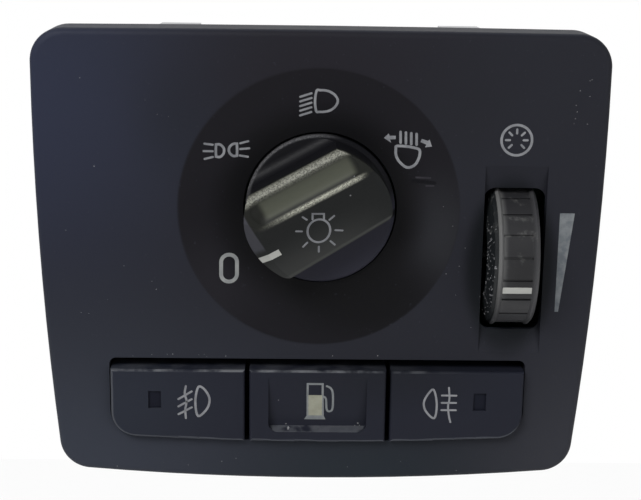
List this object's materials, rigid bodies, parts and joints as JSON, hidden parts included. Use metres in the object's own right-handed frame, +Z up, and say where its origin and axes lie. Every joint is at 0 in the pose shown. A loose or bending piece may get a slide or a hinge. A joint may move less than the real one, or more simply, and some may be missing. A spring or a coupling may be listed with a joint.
{
  "type": "headlight switch",
  "caption": "Car headlight switch panel: tapering bezel with a wedge-gripped rotary light knob in a shallow dish, a dimmer thumbwheel and a row of push buttons.",
  "frame": {"origin": "middle of the panel in the plane of the bezel's rear rim, where it seats on the dashboard", "axes": "+X to the driver's right along the panel, +Y into the dashboard, +Z up the panel"},
  "size_m": [0.122, 0.067, 0.1],
  "materials": {
    "panel_plastic": "fine-grained soft black with a blue cast",
    "knob_plastic": "grained black, worn slightly shiny on its ridges",
    "button_plastic": "fine-grained soft black",
    "wheel_plastic": "satin black",
    "inner_plastic": "black moulded",
    "housing_plastic": "black moulded",
    "white_insert": "satin white",
    "indicator_lens": "smoked",
    "natural_nylon": "natural white",
    "silicone": "grey silicone",
    "clear_guide": "clear moulded plastic",
    "board_laminate": "green solder mask",
    "component_body": "black",
    "lamp_body": "white with a clear face",
    "can_metal": "satin",
    "contact_metal": "bright",
    "spring_steel": "bright spring steel",
    "screw_steel": "zinc plated"
  },
  "bodies": {
    "root": {"front_bezel": "panel_plastic", "switch_core": "inner_plastic", "detent_spring": "spring_steel", "dimmer_bracket": "inner_plastic", "dimmer_potentiometer": "component_body", "button_guide": "inner_plastic", "front_fog_dome": "silicone", "fuel_flap_dome": "silicone", "rear_fog_dome": "silicone", "symbol_light_guide": "clear_guide", "circuit_board": "board_laminate", "board_lamps": "lamp_body", "control_chip": "component_body", "board_capacitors": "can_metal", "connector_shroud": "housing_plastic", "connector_pins": "contact_metal", "board_screws": "screw_steel", "rear_housing": "housing_plastic", "rear_cover": "housing_plastic", "housing_screws": "screw_steel", "clip_top_left": "spring_steel", "clip_top_right": "spring_steel", "clip_bottom_left": "spring_steel", "clip_bottom_right": "spring_steel"},
    "knob_body": {"knob": "knob_plastic", "knob_pointer": "white_insert", "rotary_shaft": "natural_nylon", "contact_rotor": "natural_nylon", "contact_wipers": "contact_metal"},
    "dimmer_body": {"dimmer_wheel": "wheel_plastic", "dimmer_mark": "white_insert", "dimmer_axle": "spring_steel"},
    "front_fog_body": {"front_fog_button": "button_plastic", "front_fog_lens": "indicator_lens"},
    "fuel_flap_body": {"fuel_flap_button": "button_plastic"},
    "rear_fog_body": {"rear_fog_button": "button_plastic", "rear_fog_lens": "indicator_lens"}
  },
  "joints": [
    {"name": "knob_turn", "type": "hinge", "parent": "root", "child": "knob_body", "pos_m": [0, -0.011, 0.012], "axis": [0, 1, 0], "range_deg": [0, 180], "deforming": ["detent_spring"]},
    {"name": "dimmer_turn", "type": "hinge", "parent": "root", "child": "dimmer_body", "pos_m": [0.0418, -0.00405, 0.0011], "axis": [-1, 0, 0], "range_deg": [-26, 60]},
    {"name": "front_fog_press", "type": "slide", "parent": "root", "child": "front_fog_body", "axis": [0, 1, 0], "range_m": [0, 0.002], "stiffness_N_per_m": 400, "springref_m": -0.001, "deforming": ["front_fog_dome"]},
    {"name": "fuel_flap_press", "type": "slide", "parent": "root", "child": "fuel_flap_body", "axis": [0, 1, 0], "range_m": [0, 0.002], "stiffness_N_per_m": 400, "springref_m": -0.001, "deforming": ["fuel_flap_dome"]},
    {"name": "rear_fog_press", "type": "slide", "parent": "root", "child": "rear_fog_body", "axis": [0, 1, 0], "range_m": [0, 0.002], "stiffness_N_per_m": 400, "springref_m": -0.001, "deforming": ["rear_fog_dome"]}
  ]
}
